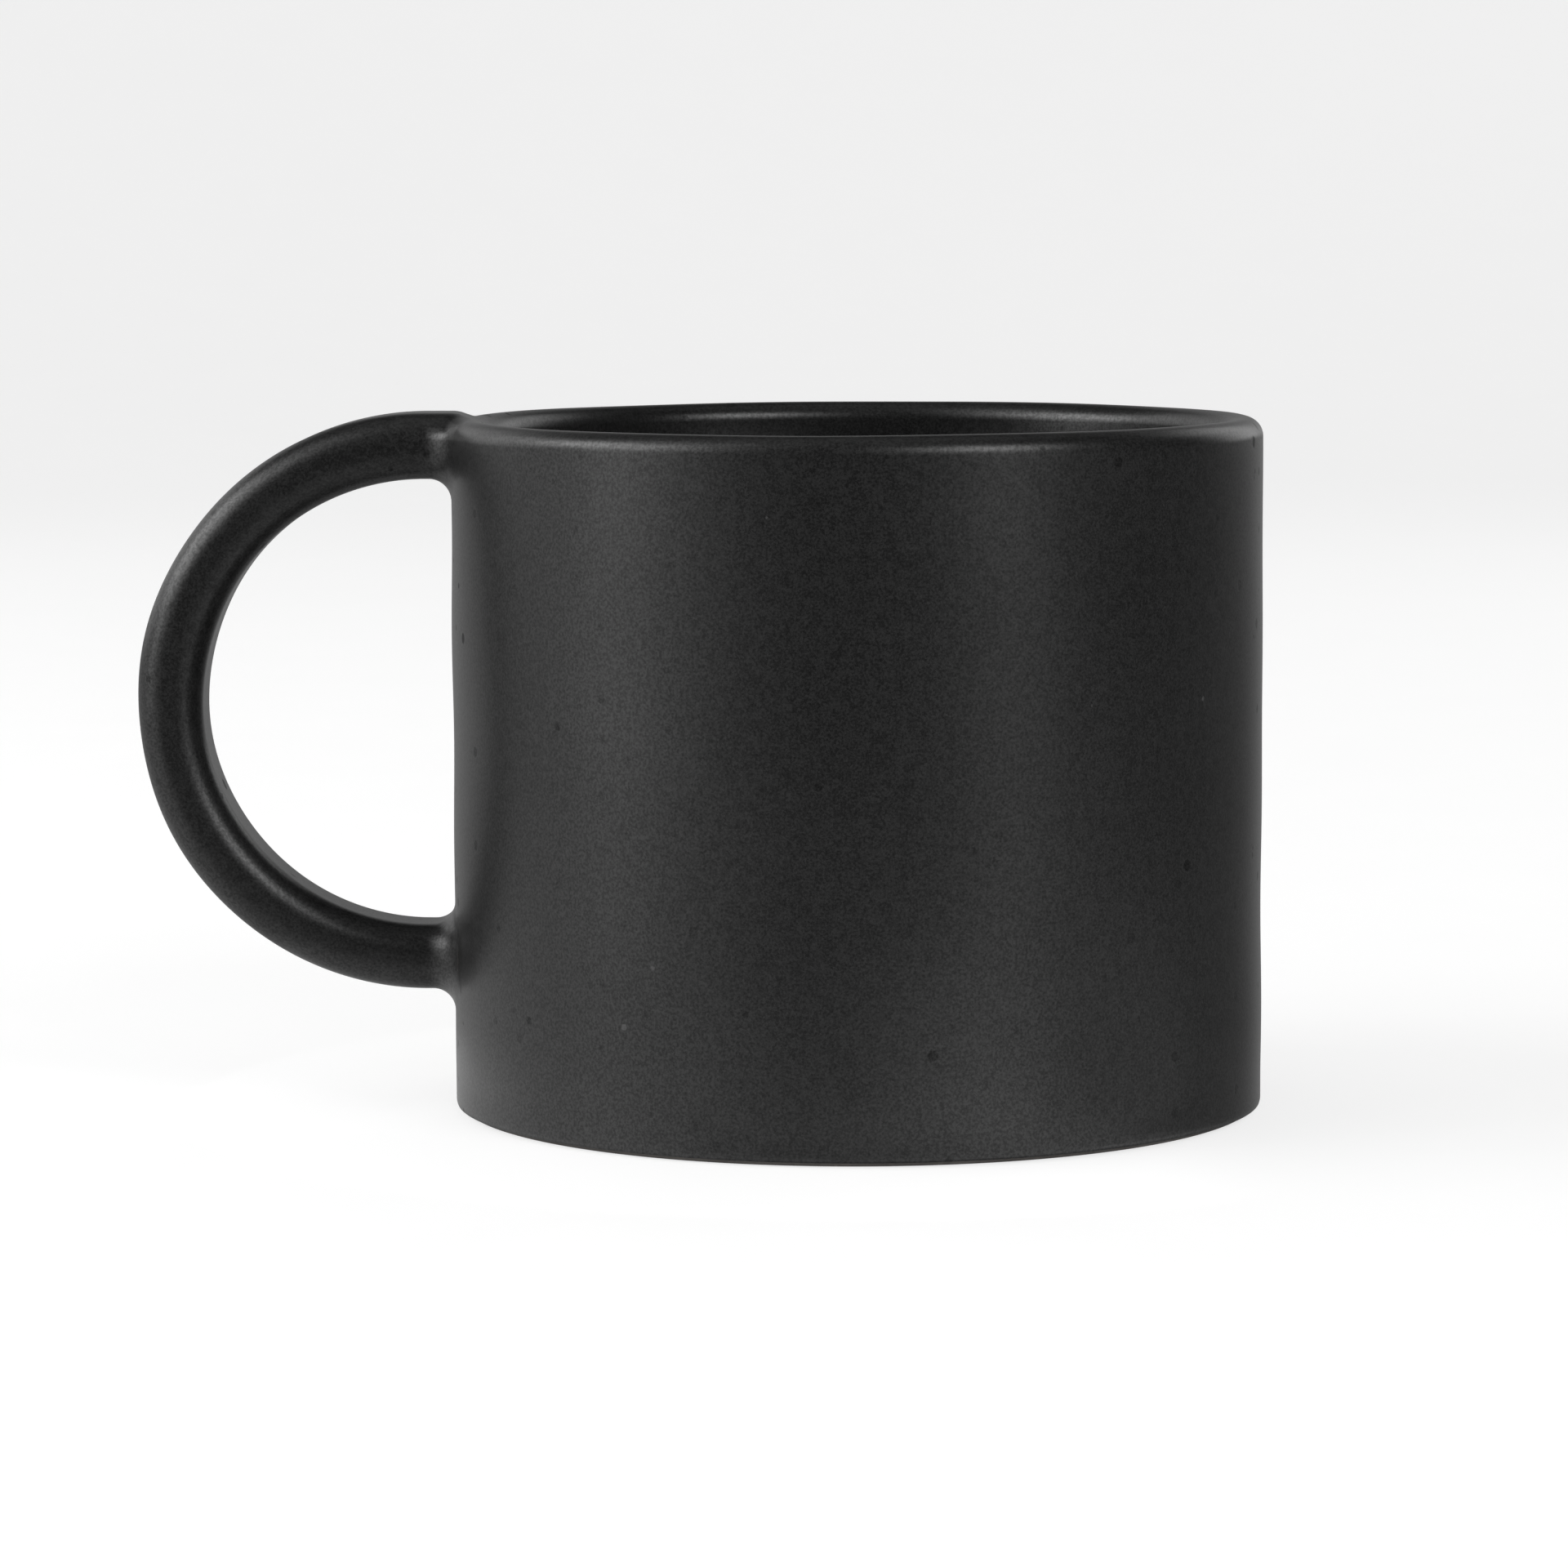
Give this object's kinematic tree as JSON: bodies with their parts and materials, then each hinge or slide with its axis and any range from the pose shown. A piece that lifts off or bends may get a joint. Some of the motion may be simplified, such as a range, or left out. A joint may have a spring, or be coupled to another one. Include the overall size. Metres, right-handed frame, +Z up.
{
  "type": "stoneware mug",
  "caption": "Straight-sided round stoneware mug with a half-ring strap handle set flush with the rim, glazed satin black.",
  "frame": {"origin": "on the cup's axis, in the plane the foot stands on", "axes": "+Z up along the cup's axis, out of the mouth; the handle points along -X"},
  "size_m": [0.1221, 0.088, 0.0757],
  "materials": {
    "fired_clay": "matte",
    "fired_slip": "matte",
    "black_glaze": "satin",
    "liner_glaze": "satin"
  },
  "bodies": {
    "root": {"stoneware_cup": "fired_clay", "handle": "fired_clay", "upper_slip_joint": "fired_slip", "lower_slip_joint": "fired_slip", "outer_glaze": "black_glaze", "liner_glaze": "liner_glaze", "handle_glaze": "black_glaze", "base_glaze": "black_glaze"}
  },
  "joints": []
}
